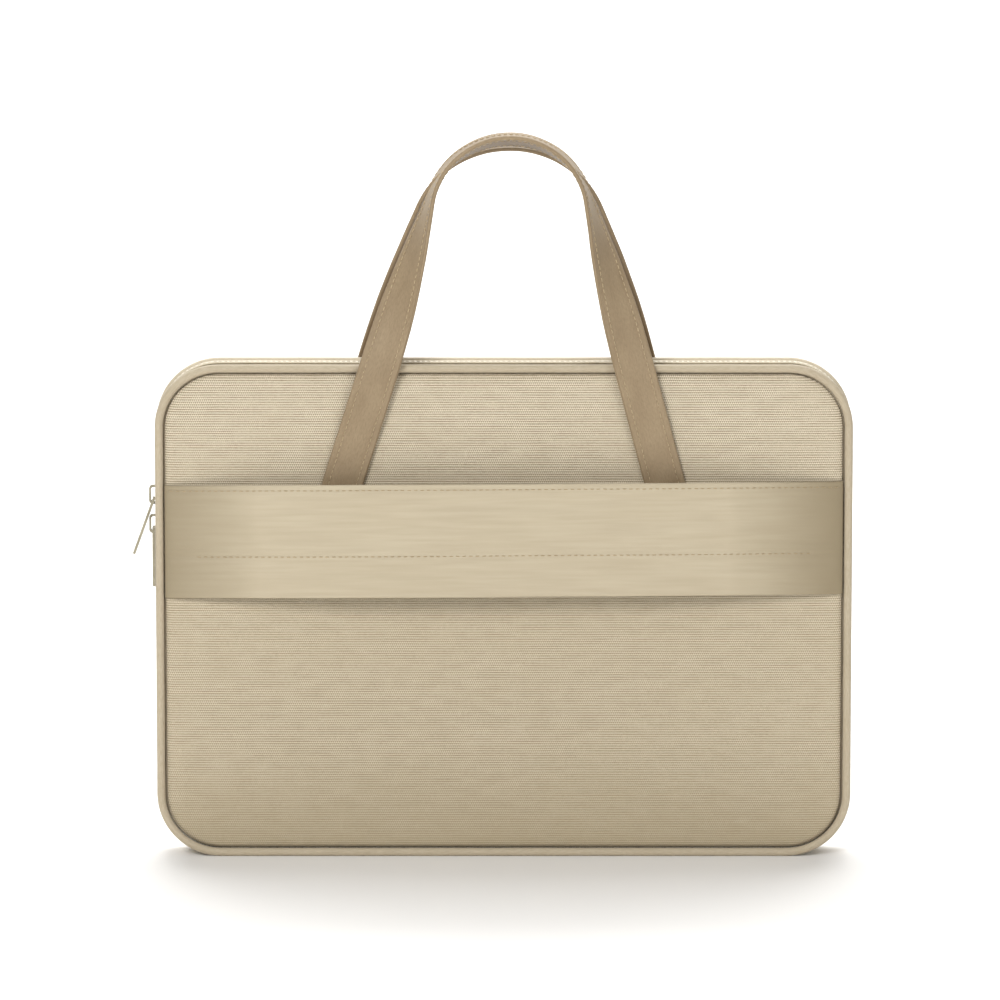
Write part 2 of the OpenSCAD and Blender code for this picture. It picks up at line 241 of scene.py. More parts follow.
def panel_grid(inset):
    """x and z of a grid over the panel inside an inset, rows along x, its border on the outline."""
    r = CORNER_R - inset
    low = edge_levels(r, BODY_H / 2 - inset)
    z = inset + np.concatenate([low, 2 * (BODY_H / 2 - inset) - low[-2::-1]])
    beyond = r - np.minimum(z - inset, BODY_H - inset - z)
    half = HALF_W - CORNER_R + np.sqrt(r * r - np.clip(beyond, 0, r) ** 2)
    sides = np.array([0, 0.6, 1.3, 2.2, 3.4, 5, 7.5, 10.5, 14])
    middle = np.linspace(18, 2 * (HALF_W - inset) - 18, 82)
    across = np.concatenate([sides, middle, 2 * (HALF_W - inset) - sides[::-1]])
    u = across / (HALF_W - inset) - 1
    return half[:, None] * u[None, :], np.broadcast_to(z[:, None], (len(z), len(u)))


def depth_in(x, z):
    """How far a point lies inside the sleeve's outline."""
    qx = np.abs(x) - HALF_W + CORNER_R
    qz = np.abs(z - BODY_H / 2) - BODY_H / 2 + CORNER_R
    outside = np.hypot(np.maximum(qx, 0), np.maximum(qz, 0))
    return CORNER_R - outside - np.minimum(np.maximum(qx, qz), 0)


def pad_height(x, z):
    """Distance of the padded panel's face from the middle plane, before it is blown up."""
    into = np.maximum(depth_in(x, z) - PAD_INSET, 0)
    rise = 1 - np.exp(-into / 1.5)
    soft = 0.10 * waves(x, z, 34, 4) * ease(into / 14)
    return PAD_EDGE + (PAD_FACE - PAD_EDGE) * rise + soft


def slab(name, x, z, near, far, material, wall=()):
    """A closed slab over a grid between two depths, with more border rows at the wall depths."""
    rows, cols = x.shape
    index = np.arange(rows * cols).reshape(rows, cols)
    border = np.concatenate([index[0, :-1], index[:-1, -1], index[-1, :0:-1], index[:0:-1, 0]])
    layers = [np.stack([x, near + 0 * x, z], -1).reshape(-1, 3)]
    layers.append(np.stack([x, far + 0 * x, z], -1).reshape(-1, 3))
    faces = []
    for k in (0, 1):
        i = index + k * rows * cols
        quads = np.stack([i[:-1, :-1], i[:-1, 1:], i[1:, 1:], i[1:, :-1]], -1)
        faces += quads.reshape(-1, 4).tolist()
    loops = [border]
    for depth in wall:
        ring = layers[0][border].copy()
        ring[:, Y] = depth
        loops.append(np.arange(len(border)) + sum(len(layer) for layer in layers))
        layers.append(ring)
    loops.append(border + rows * cols)
    for a, b in zip(loops, loops[1:]):
        faces += np.stack([a, np.roll(a, -1), np.roll(b, -1), b], 1).tolist()
    points = np.concatenate(layers)
    cloth = np.stack([points[:, X], points[:, Z], 0 * points[:, X]], 1)
    return make(name, points, faces, cloth, material)


def co_of(obj):
    """An object's points as an array, in metres."""
    co = np.empty(len(obj.data.vertices) * 3)
    obj.data.vertices.foreach_get("co", co)
    return co.reshape(-1, 3)


def apply_modifiers(obj):
    """Fixes what the object's modifiers make of it into its mesh."""
    graph = bpy.context.evaluated_depsgraph_get()
    mesh = bpy.data.meshes.new_from_object(obj.evaluated_get(graph), depsgraph=graph)
    obj.modifiers.clear()
    obj.data = mesh


def blow_up(obj, side):
    """Swells the panel's face under pressure as cloth, at most DOME mm, then smooths it."""
    rest = co_of(obj)
    x, z = rest[:, X] * 1000, rest[:, Z] * 1000
    inner = depth_in(x, z) - PAD_INSET
    free = (inner > 0.3) & (rest[:, Y] * side * 1000 > PAD_EDGE)
    group = obj.vertex_groups.new(name="held")
    group.add(np.flatnonzero(~free).tolist(), 1.0, "REPLACE")
    cloth = obj.modifiers.new("Cloth", "CLOTH")
    cloth.settings.use_pressure = True
    cloth.settings.uniform_pressure_force = 4
    cloth.settings.tension_stiffness = 40
    cloth.settings.vertex_group_mass = "held"
    cloth.settings.effector_weights.gravity = 0
    cloth.point_cache.frame_start = 1
    cloth.point_cache.frame_end = 20
    for step in range(1, 21):
        bpy.context.scene.frame_set(step)
    apply_modifiers(obj)
    bpy.context.scene.frame_set(1)
    moved = np.clip((co_of(obj) - rest)[:, Y] * side * 1000, 0, None)
    lift = DOME * moved / max(moved.max(), 0.001)
    rest[:, Y] += np.where(free, lift, 0) * side / 1000
    obj.data.vertices.foreach_set("co", rest.ravel())
    obj.data.update()
    subdivide(obj)


def subdivide(obj):
    """One round of subdivision, fixed into the mesh."""
    modifier = obj.modifiers.new("Subdivision", "SUBSURF")
    modifier.levels = 1
    modifier.render_levels = 1
    apply_modifiers(obj)
    obj.data.shade_smooth()


def pad(name, side, material):
    """A padded panel: canvas over foam, drawn in at the piping."""
    x, z = panel_grid(PAD_INSET)
    wall = side * (PAD_EDGE - 0.7), side * (FOAM_Y + 0.7)
    obj = slab(name, x, z, side * pad_height(x, z), side * FOAM_Y, material, wall)
    blow_up(obj, side)
    return obj


def lining(name, side, material):
    """The lining of a panel, a little slack between its edges."""
    x, z = panel_grid(PANEL_INSET)
    inner, outer = LINING_Y
    slack = 0.18 * waves(x, z, 45, 8) * ease((depth_in(x, z) - 9) / 25)
    obj = slab(name, x, z, side * (inner + 0.2 + slack), side * outer, material)
    return obj


# Edges and inside


def welt(name, side, material):
    """Piping: cloth drawn round a cord, a little uneven where the seam pulls it."""
    path = rim("full", PIPING_R, 2.5)
    turn = np.radians(np.linspace(0, 360, 20, endpoint=False))
    pull = 1 - 0.02 * np.abs(waves(path.s, 0 * path.s, 4, 11)) - 0.012 * waves(path.s, 0 * path.s, 30, 3)
    inset = PIPING_R + PIPING_R * pull[:, None] * np.cos(turn)
    y = side * PIPING_Y + PIPING_R * pull[:, None] * np.sin(turn)
    return sweep(name, path, np.stack([inset, y], -1), material)


def gusset(name, material):
    """The cloth over the base and the lower sides, drawn in at both seams."""
    path = rim("lower", 1, 3)
    section = strip(0.85, 0, 1.1, GUSSET_W, 22)
    section = np.broadcast_to(section, (len(path.s), *section.shape)).copy()
    across = section[..., 1] / GUSSET_HALF
    s = path.s[:, None] + 0 * across
    section[..., 0] += 0.55 * np.abs(across) ** 3 + 0.12 * waves(s, across * 9, 16, 2)
    obj = sweep(name, path, section, material)
    return obj


def gusset_hem(name, side, material):
    """The fold of cloth over one end of the gusset's foam, where the zip begins."""
    top, radius = FOLD_Z - 0.3, 0.8
    bend = np.radians(np.linspace(0, 90, 6))
    outer = [(1.2 - radius * math.cos(a), top - radius + radius * math.sin(a)) for a in bend]
    inner = [(5.9 + radius * math.sin(a), top - radius + radius * math.cos(a)) for a in bend]
    line = np.array([(0.4, top - 7), (0.4, top - 3), *outer, (3.5, top + 0.15), *inner, (6.7, top - 7)])
    ahead = unit(np.gradient(line, axis=0))
    across = strip(0, 0, 0.8, 2 * GUSSET_HALF - 3.6, 10)
    inset = line[:, None, 0] + across[None, :, 0] * ahead[:, None, 1]
    z = line[:, None, 1] - across[None, :, 0] * ahead[:, None, 0]
    y = np.broadcast_to(across[None, :, 1], z.shape)
    rings = np.stack([side * (HALF_W - inset), y, z], -1)
    s = distances(line)
    cloth = np.stack(np.broadcast_arrays(y, s[:, None] + 0 * z, 0.0), -1)
    return loft(name, rings, cloth, material)


def gusset_pad(name, material):
    """The foam under the gusset, with softened edges."""
    low, high = 1.9, 5.4
    section = strip((low + high) / 2, 0, high - low, 2 * span("lower_gusset_foam", Y)[1], 14)
    obj = sweep(name, rim("lower", 3, 5), section, material)
    return obj


def gusset_lining(name, material):
    """The lining over the gusset's foam."""
    inset = 5.85
    path = rim("lower", inset, 4)
    wide = 2 * span("lower_gusset_lining", Y)[1]
    obj = sweep(name, path, strip(inset, 0, 0.7, wide, 12), material)
    return obj


def edge_strip(name, part, side, place, material):
    """A strip of cloth along the outline: a facing, a tape, a flange or a binding."""
    inset, near, far, thick = place
    path = rim(part, inset, 2.5)
    section = strip(inset, side * (near + far) / 2, thick, far - near)
    section = np.broadcast_to(section, (len(path.s), *section.shape)).copy()
    section[..., 0] += 0.06 * waves(path.s, 0 * path.s, 14, round(inset * 10))[:, None]
    return sweep(name, path, section, material)


# Sewing and zips


def stitches(name, runs, material, pitch, length, radius):
    """Lock stitches in a row along each run of (points, outward normals), as one mesh."""
    rng = np.random.default_rng(len(name))
    rings = []
    turn = np.radians(np.arange(0, 360, 60))
    along = np.array([-0.5, -0.34, 0.34, 0.5]) * length
    girth = np.array([0.4, 1, 1, 0.4]) * radius
    rise = np.array([-0.9, 0.25, 0.25, -0.9]) * radius
    for points, normals in runs:
        s = distances(points)
        count = max(1, int(s[-1] / pitch))
        at = (np.arange(count) + 0.5) * s[-1] / count
        at = at + rng.uniform(-0.04, 0.04, count) * pitch

        def read(values, where, s=s):
            return np.stack([np.interp(where, s, values[:, k]) for k in range(3)], 1)

        middle = read(points, at)
        ahead = unit(read(points, at + 0.4) - read(points, at - 0.4))
        normal = unit(read(normals, at))
        side = unit(np.cross(ahead, normal))
        ahead = unit(ahead + rng.uniform(-0.07, 0.07, count)[:, None] * side)
        round_it = np.cos(turn)[None, None, :, None] * normal[:, None, None, :]
        round_it = round_it + np.sin(turn)[None, None, :, None] * side[:, None, None, :]
        spine = middle[:, None, :] + along[None, :, None] * ahead[:, None, :]
        spine = spine + rise[None, :, None] * normal[:, None, :]
        rings.append(spine[:, :, None, :] + girth[None, :, None, None] * round_it)
    rings = np.concatenate(rings)
    index = np.arange(rings.size // 3).reshape(rings.shape[:3])
    near, far = index[:, :-1], index[:, 1:]
    quads = np.stack([near, np.roll(near, -1, 2), np.roll(far, -1, 2), far], -1)
    faces = quads.reshape(-1, 4).tolist() + index[:, 0].tolist() + index[:, -1].tolist()
    cloth = np.zeros_like(rings)
    cloth[..., 0] = along[None, :, None] + rng.uniform(0, 40, len(rings))[:, None, None]
    cloth[..., 1] = np.degrees(turn) / 60 * radius
    return make(name, rings, faces, cloth, material)


def coil(name, centres, out, across, tall, wide, pitch, material):
    """One row of a nylon zip: a wire wound round the line of centres."""
    wire = 0.34
    s = distances(centres)
    turn = (2 * math.pi * s / pitch)[:, None]
    away = np.cos(turn) * out + np.sin(turn) * across
    line = centres + np.cos(turn) * out * (tall / 2 - wire) + np.sin(turn) * across * (wide / 2 - wire)
    ahead = unit(np.gradient(line, axis=0))
    beside = unit(np.cross(ahead, away))
    away = np.cross(beside, ahead)
    around = np.radians(np.arange(0, 360, 72))
    rings = line[:, None, :] + wire * (
        np.cos(around)[None, :, None] * away[:, None, :]
        + np.sin(around)[None, :, None] * beside[:, None, :]
    )
    cloth = np.zeros_like(rings)
    cloth[..., 0] = s[:, None]
    cloth[..., 1] = around * wire
    return loft(name, rings, cloth, material)


def main_coil(name, side, material):
    """A row of the main zip, the mirror image of the row facing it."""
    pitch = 1.5
    half_coil = 1
    inset = BODY_H - span("rear_zip_coil", Z)[1] + half_coil
    path = rim("upper", inset, pitch / 9)
    start = span("zip_end_stops", Z)[1] + 0.2
    keep = (on_rim(path, inset, 0)[:, Z] > start) | (path.nz > 0.01)
    centres = on_rim(path, inset, side * COIL_ROW)[keep]
    out = np.stack([path.nx, 0 * path.nx, path.nz], 1)[keep]
    return coil(name, centres, out, np.array([[0, side, 0.0]]), 1.9, 2.6, pitch, material)


# Trolley strap

STRAP_LOW, STRAP_HIGH = span("trolley_strap", Z)
STRAP_SLOPE = math.radians(0.35)
STRAP_END = span("trolley_strap", X)[1]
STRAP_Z = (STRAP_LOW + STRAP_HIGH) / 2
STRAP_H = 60
STRAP_T = 1.5
STRAP_BOW = 16.5
STRAP_FLAT = 88
STRAP_ARCH = 2.4
STRAP_ROWS = 22, 57
LOW_ROW_END = 161


def strap_lift(x):
    """How far the strap stands off the panel."""
    run = STRAP_BOW * (STRAP_END - np.abs(x)) / (STRAP_END - STRAP_FLAT)
    soften = 5

    def low(a, b):
        return (a + b - np.sqrt((a - b) ** 2 + soften**2)) / 2

    return low(run, STRAP_BOW) - low(0, STRAP_BOW)


def strap_point(x, h, out):
    """A point of the strap: x across, h up from its lower edge, out through its thickness."""
    lift = strap_lift(x)
    into = np.maximum(HALF_W - PANEL_INSET - np.abs(x), 0)
    seat = PAD_EDGE + (PAD_FACE - PAD_EDGE) * (1 - np.exp(-into / 1.7)) + 0.2
    slack = ease(into / 30)
    bulge = 0.22 * waves(x / 5, h, 7, 21) * slack + 0.5 * waves(x, h * 0.6, 60, 5) * slack
    dent = sum(0.3 * np.exp(-(((h - row) / 1.0) ** 2)) for row in STRAP_ROWS)
    y = seat + lift + bulge + out - dent * out / STRAP_T
    bow = STRAP_ARCH * lift / STRAP_BOW
    z = STRAP_Z - STRAP_H / 2 + h + x * math.sin(STRAP_SLOPE) + bow
    return np.stack([x + 0 * y, -y, z + 0 * y], -1)


def trolley_strap(name, material):
    """The band that slips over a suitcase handle, sewn in at both sides and bowed outwards."""
    end = np.array([0, 0.5, 1.1, 2, 3.2, 5])
    x = np.concatenate([-STRAP_END + end, np.linspace(-STRAP_END + 7, STRAP_END - 7, 150)])
    x = np.concatenate([x, STRAP_END - end[::-1]])
    section = strip(0, 0, STRAP_T, STRAP_H, 74)
    h = section[:, 1] + STRAP_H / 2
    out = STRAP_T / 2 - section[:, 0]
    rings = strap_point(x[:, None], h[None, :], out[None, :])
    cloth = np.stack(np.broadcast_arrays(x[:, None], h[None, :], 0.0), -1)
    obj = loft(name, rings, cloth, material)
    return obj


def strap_seams(name, material):
    """The two rows of stitches along the strap."""
    runs = []
    for row, end in zip(STRAP_ROWS, (LOW_ROW_END, STRAP_END - 2)):
        x = np.linspace(-end, end, 300)
        runs.append((strap_point(x, row, STRAP_T), np.tile([0.0, -1, 0], (len(x), 1))))
    return stitches(name, runs, material, 3.4, 2.3, 0.24)


# Handles

HANDLE_W = 21
HANDLE_T = 2.2
FOOT_X = 83.5
FOOT_Z = 202
TWIST_FROM = 35
TWIST_TOP = math.radians(107)
HANDLE_ROW = 7.0
# How the strap's middle lies off the panel, bows out over the piping, leans back in and drifts to +X
HANDLE_SEAT = 1.6
HANDLE_BOW = 1.8
HANDLE_LEAN = 6.8
HANDLE_SWAY = 3
Handle = namedtuple("Handle", "side top slope below")
REAR_HANDLE = Handle(REAR, 379, 16.15, 40)
FRONT_HANDLE = Handle(FRONT, 376, 15.15, 34)


def handle_line(handle, step):
    """Places along a handle: middle, the direction across it and the one through it."""
    a = math.radians(handle.slope)
    rise = handle.top - FOOT_Z
    radius = (FOOT_X - rise * math.tan(a)) / (math.cos(a) - math.tan(a) * (1 - math.sin(a)))
    leg = (rise - radius * (1 - math.sin(a))) / math.cos(a)
    half = leg + radius * (math.pi / 2 - a)
    u = np.linspace(-half - handle.below, half + handle.below, round(2 * (half + handle.below) / step))
    d = half - np.abs(u)
    angle = a + np.maximum(0, d - leg) / radius
    x = np.where(d < leg, FOOT_X - d * math.sin(a), radius * np.cos(angle)) * np.sign(u)
    z = np.where(d < leg, FOOT_Z + d * math.cos(a), handle.top - radius * (1 - np.sin(angle)))
    turn = ease((d - TWIST_FROM) / (half - TWIST_FROM))
    twist = (turn * TWIST_TOP)[:, None]
    sway = HANDLE_SWAY * np.sin(math.pi / 2 * np.clip((z - FOOT_Z) / rise, 0, 1))
    y = HALF_D + HANDLE_SEAT + HANDLE_BOW * ease(d / 60) - HANDLE_LEAN * turn
    y = y - 0.45 * ease(-d / 6)
    middle = np.stack([x + sway, handle.side * y, z], 1)
    out = np.stack([np.sign(u) * np.cos(angle), 0 * u, np.sin(angle)], 1)
    inwards = np.array([[0, -handle.side, 0]])
    wide = np.cos(twist) * out + np.sin(twist) * inwards
    thick = np.sin(twist) * out - np.cos(twist) * inwards
    return u, middle, wide, thick


def handle_half_thickness(w):
    """Half of the strap's thickness: fuller at the folded edges, drawn in by the rows."""
    full = HANDLE_T / 2 - 0.08 + 0.08 * (np.abs(w) / HANDLE_W * 2) ** 4
    return full - 0.12 * np.exp(-(((np.abs(w) - HANDLE_ROW) / 0.9) ** 2))


def handle_strap(name, handle, material):
    """A carry handle: one folded strap from sewn end to sewn end, twisted towards its top."""
    u, middle, wide, thick = handle_line(handle, 1.7)
    r = 0.9
    w = np.linspace(-HANDLE_W / 2 + r, HANDLE_W / 2 - r, 25)
    bend = np.radians([60, 25, 0, -25, -60])
    face = [(v, handle_half_thickness(v)) for v in w]
    edge = [(w[-1] + r * math.cos(a), handle_half_thickness(w[-1]) * math.sin(a)) for a in bend]
    section = np.array(face + edge + [(-v, -t) for v, t in face] + [(-v, -t) for v, t in edge])
    uneven = 0.12 * waves(u[:, None] + 0 * section[:, 0], section[:, 0] + 0 * u[:, None], 14, 9)
    depth = section[None, :, 1] + uneven
    rings = (
        middle[:, None, :]
        + section[None, :, 0, None] * wide[:, None, :]
        + depth[..., None] * thick[:, None, :]
    )
    around = distances(section)
    cloth = np.stack(np.broadcast_arrays(u[:, None], around[None, :], 0.0), -1)
    return loft(name, rings, cloth, material)


def handle_seams(name, handle, material):
    """Rows of stitches near both edges of a handle on both faces, and the boxes on its sewn ends."""
    _, middle, wide, thick = handle_line(handle, 1.7)
    runs = []
    for face in (1, -1):
        for row in (-HANDLE_ROW, HANDLE_ROW):
            skin = handle_half_thickness(row) + 0.1
            runs.append((middle + row * wide + face * skin * thick, face * thick))
    skin = handle_half_thickness(0) + 0.1
    for end in (1, -1):
        low, high = (1, 17) if end > 0 else (-2, -18)
        corners = [(low, -1), (low, 1), (high, -1), (high, 1), (low, -1)]
        for (i, a), (j, b) in zip(corners, corners[1:]):
            t = np.linspace(0, 1, 12)[:, None]
            place = (1 - t) * (middle[i] + a * HANDLE_ROW * wide[i])
            place = place + t * (middle[j] + b * HANDLE_ROW * wide[j])
            runs.append((place + skin * thick[i], np.tile(thick[i], (12, 1))))
    return stitches(name, runs, material, 3.1, 2.2, 0.26)


# Pocket

POCKET_X = span("pocket_panel", X)[1]
POCKET_LOW, POCKET_HIGH = span("pocket_panel", Z)
POCKET_FACE = span("pocket_panel", Y)[1] - 0.3
POCKET_R = 14
SLOT_X = span("pocket_zip_tape", X)[1]
SLOT_Z = sum(span("pocket_zip_coil", Z)) / 2
SLOT_HALF = 3.7


def pocket_depth(x, z):
    """How far a point lies inside the pocket's outline."""
    middle, half = (POCKET_LOW + POCKET_HIGH) / 2, (POCKET_HIGH - POCKET_LOW) / 2
    qx = np.abs(x) - POCKET_X + POCKET_R
    qz = np.abs(z - middle) - half + POCKET_R
    outside = np.hypot(np.maximum(qx, 0), np.maximum(qz, 0))
    return POCKET_R - outside - np.minimum(np.maximum(qx, qz), 0)


def pocket_y(x, z):
    """Depth of the pocket's cloth: up from the panel at its edge, then slightly full."""
    into = np.maximum(pocket_depth(x, z), 0)
    rise = 1 - np.exp(-into / 1.8)
    full = 0.35 * ease(into / 40) + 0.16 * waves(x, z, 26, 6) * ease(into / 12)
    return PAD_FACE + (POCKET_FACE - PAD_FACE) * rise + full


def pocket_cloth(name, material):
    """The pocket's front with its edges turned down and a slot for the zip."""
    r = POCKET_R
    arc = r * (1 - np.cos(np.radians(np.linspace(6, 90, 12))))
    slot_rows = SLOT_Z + np.array([-1, 1])[:, None] * (SLOT_HALF + np.array([0, 0.4, 1.0]))
    rows = np.arange(POCKET_LOW + r + 3, SLOT_Z - SLOT_HALF - 2, 3)
    z = np.concatenate([POCKET_LOW + arc, rows, slot_rows.ravel(), POCKET_HIGH - arc])
    z = np.unique(np.round(z, 3))
    z = z[(z <= SLOT_Z - SLOT_HALF) | (z >= SLOT_Z + SLOT_HALF)]
    beyond = r - np.minimum(np.minimum(z - POCKET_LOW, POCKET_HIGH - z), r)
    half = POCKET_X - r + np.sqrt(np.maximum(r * r - beyond**2, 0))
    inner = POCKET_X - r - 0.2
    columns = np.linspace(-inner, inner, 90)
    share = np.array([0.08, 0.22, 0.4, 0.6, 0.78, 0.9, 0.97, 1])
    side = inner + (half[:, None] - inner) * share[None, :]
    x = np.concatenate([-side[:, ::-1], np.broadcast_to(columns, (len(z), 90)), side], 1)
    z = np.broadcast_to(z[:, None], x.shape)
    y = pocket_y(x, z)
    beside = np.maximum(np.abs(x) - inner, 0)
    beyond = np.maximum(np.abs(z - SLOT_Z) - SLOT_HALF, 0)
    y = y - 0.9 * np.exp(-np.hypot(beside, beyond) / 0.45)
    index = np.arange(x.size).reshape(x.shape)
    quads = np.stack([index[:-1, :-1], index[:-1, 1:], index[1:, 1:], index[1:, :-1]], -1)
    centre_z = (z[:-1, :-1] + z[1:, :-1]) / 2
    centre_x = (x[:-1, :-1] + x[:-1, 1:]) / 2
    open_here = (np.abs(centre_z - SLOT_Z) < SLOT_HALF) & (np.abs(centre_x) < inner)
    points = np.stack([x, y, z], -1)
    cloth = np.stack([x, z, 0 * x], -1)
    obj = make(name, points, quads[~open_here].tolist(), cloth, material)
    solid = obj.modifiers.new("Solidify", "SOLIDIFY")
    solid.thickness = 0.0009
    solid.offset = 0
    apply_modifiers(obj)
    subdivide(obj)
    return obj


def pocket_seams(name, material):
    """The row round the pocket's edge and the row round its zip."""
    runs = []
    for half_x, low, high, r in (
        (POCKET_X - 4.5, POCKET_LOW + 4.5, POCKET_HIGH - 4.5, POCKET_R - 4.5),
        (SLOT_X - 2, SLOT_Z - SLOT_HALF - 2.2, SLOT_Z + SLOT_HALF + 2.2, 0.5),
    ):
        turn = np.radians(np.linspace(0, 90, 8))
        corners = ((half_x - r, high - r, 90), (half_x - r, low + r, 0))
        corners += ((r - half_x, low + r, -90), (r - half_x, high - r, 180))
        line = [
            (cx + r * math.cos(math.radians(start) - t), cz + r * math.sin(math.radians(start) - t))
            for cx, cz, start in corners
            for t in turn
        ]
        line = np.array([*line, line[0]])
        s = distances(line)
        at = np.linspace(0, s[-1], 500)
        x, z = np.interp(at, s, line[:, 0]), np.interp(at, s, line[:, 1])
        points = np.stack([x, pocket_y(x, z) + 0.45, z], 1)
        runs.append((points, np.tile([0.0, 1, 0], (len(x), 1))))
    return stitches(name, runs, material, 3.0, 2.1, 0.24)


def pocket_tape(name, up, material):
    """One of the two woven tapes of the pocket's zip."""
    low, high = span("pocket_zip_tape", Y)
    x = np.linspace(-SLOT_X + 1, SLOT_X - 1, 90)
    section = strip((low + high) / 2, SLOT_Z + up * 4.7, high - low, 3.8)
    rings = np.broadcast_to(section, (len(x), *section.shape))
    rings = np.stack([np.broadcast_to(x[:, None], rings.shape[:2]), rings[..., 0], rings[..., 1]], -1)
    cloth = np.stack([rings[..., 0], rings[..., 2], 0 * rings[..., 0]], -1)
    return loft(name, rings, cloth, material)


def pocket_coil(name, up, material):
    """One row of the pocket's zip."""
    pitch = 1.3
    half = span("pocket_zip_coil", X)[1]
    x = np.arange(-half, half, pitch / 9)
    y = sum(span("pocket_zip_coil", Y)) / 2
    centres = np.stack([x, y + 0 * x, SLOT_Z + up * COIL_ROW + 0 * x], 1)
    out = np.tile([0.0, 1, 0], (len(x), 1))
    return coil(name, centres, out, np.array([[0, 0, up * 1.0]]), 1.6, 2.6, pitch, material)


# Materials


def srgb(red, green, blue):
    """A colour given in 0-255 display values, as the linear RGBA that sockets take."""
    value = np.array([red, green, blue]) / 255
    linear = np.where(value <= 0.04045, value / 12.92, ((value + 0.055) / 1.055) ** 2.4)
    return (*linear.tolist(), 1.0)


class Finish:
    """A material being built. u and v are places on the cloth in millimetres."""

    def __init__(self, name, shader, on_cloth=True):
        self.material = bpy.data.materials.new(name)
        self.material.use_nodes = True
        self.tree = self.material.node_tree
        self.shader = self.tree.nodes["Principled BSDF"]
        for socket, value in shader.items():
            self.shader.inputs[socket].default_value = value
        if on_cloth:
            source = self.tree.nodes.new("ShaderNodeAttribute")
            source.attribute_name = "cloth"
            place = source.outputs["Vector"]
        else:
            place = self.tree.nodes.new("ShaderNodeTexCoord").outputs["Object"]
        split = self.tree.nodes.new("ShaderNodeSeparateXYZ")
        self.tree.links.new(place, split.inputs[0])
        self.u, self.v, self.w = (self.math("MULTIPLY", out, 1000) for out in split.outputs)

    def add(self, kind, inputs, **settings):
        """A node with its settings, and values or links for its inputs."""
        node = self.tree.nodes.new("ShaderNode" + kind)
        for key, value in settings.items():
            setattr(node, key, value)
        for key, value in inputs.items():
            if isinstance(value, bpy.types.NodeSocket):
                self.tree.links.new(value, node.inputs[key])
            else:
                node.inputs[key].default_value = value
        return node

    def math(self, operation, *values):
        return self.add("Math", dict(enumerate(values)), operation=operation).outputs[0]

    def wave(self, place, period):
        """A sine from 0 to 1 that repeats every period."""
        turn = self.math("SINE", self.math("MULTIPLY", place, 2 * math.pi / period))
        return self.math("MULTIPLY_ADD", turn, 0.5, 0.5)

    def noise(self, wide, high, detail=2.0):
        """Noise from 0 to 1 with spots about that wide along u and high along v."""
        spot = {0: self.math("DIVIDE", self.u, wide), 1: self.math("DIVIDE", self.v, high)}
        spot[2] = self.math("DIVIDE", self.w, wide)
        place = self.add("CombineXYZ", spot).outputs[0]
        inputs = {"Vector": place, "Scale": 1.0, "Detail": detail}
        return self.add("TexNoise", inputs).outputs["Fac"]

    def mix(self, amount, low, high):
        """A colour between two."""
        inputs = {0: amount, 6: low, 7: high}
        return self.add("Mix", inputs, data_type="RGBA", clamp_factor=True).outputs[2]

    def spread(self, value, low, high):
        """value, stretched so that low becomes 0 and high becomes 1."""
        inputs = {"Value": value, "From Min": low, "From Max": high}
        return self.add("MapRange", inputs, clamp=True).outputs[0]

    def done(self, colour, height, depth, rough):
        """Sets the colour, the relief of height (0 to 1) that is depth mm deep, and the roughness."""
        bump = self.add("Bump", {"Height": height, "Distance": depth / 1000, "Strength": 1.0})
        self.tree.links.new(bump.outputs[0], self.shader.inputs["Normal"])
        self.tree.links.new(colour, self.shader.inputs["Base Color"])
        self.tree.links.new(rough, self.shader.inputs["Roughness"])
        return self.material


def canvas():
    """Ribbed canvas: fine ribs across the width, broken by the weave, with painted shade that darkens it
    from the middle downwards and most at the base.
    """
    rib, dot = 1.27, 1.05
    f = Finish("ribbed_canvas", {"Sheen Weight": 0.2, "Sheen Roughness": 0.5, "IOR": 1.42})
    drift = f.math("MULTIPLY_ADD", f.noise(22, 9), 0.9, -0.45)
    v = f.math("ADD", f.v, f.math("MULTIPLY", drift, 0.35))
    row = f.math("FLOOR", f.math("DIVIDE", v, rib))
    u = f.math("ADD", f.math("MULTIPLY_ADD", row, dot * 0.5, f.u), drift)
    ribs, dots = f.wave(v, rib), f.wave(u, dot)
    fibre = f.noise(1.6, 0.3, 3.0)
    broken = f.spread(f.noise(13, 5, 2.0), 0.35, 0.65)
    dotted = f.math("MULTIPLY", dots, f.math("MULTIPLY_ADD", broken, 0.45, 0.2))
    solid = f.math("MULTIPLY", ribs, f.math("MULTIPLY_ADD", broken, -0.25, 0.85))
    weave = f.math("ADD", f.math("ADD", solid, dotted), f.math("MULTIPLY_ADD", fibre, 0.8, -0.45))
    colour = f.mix(f.spread(weave, 0.05, 1.0), srgb(140, 125, 98), srgb(231, 219, 196))
    patchy = f.spread(f.noise(34, 12, 3.0), 0.3, 0.7)
    colour = f.mix(f.math("MULTIPLY", patchy, 0.16), colour, srgb(178, 164, 137))
    slub = f.spread(f.noise(11, 0.5, 1.0), 0.60, 0.75)
    colour = f.mix(f.math("MULTIPLY", slub, 0.25), colour, srgb(232, 222, 202))
    # Painted shade: the canvas darkens from the panel's middle downwards and more near the base,
    # standing in for the light falling off there.
    base_shade_height = f.math("MULTIPLY_ADD", f.noise(60, 25, 2.0), 30, f.v)
    shade = f.math("MULTIPLY", f.spread(f.v, 240, 125), 0.29)
    shade = f.math("MULTIPLY_ADD", f.spread(base_shade_height, 75, 20), 0.38, shade)
    colour = f.mix(shade, colour, srgb(160, 145, 115))
    rough = f.math("MULTIPLY_ADD", fibre, 0.15, 0.78)
    return f.done(colour, weave, 0.16, rough)


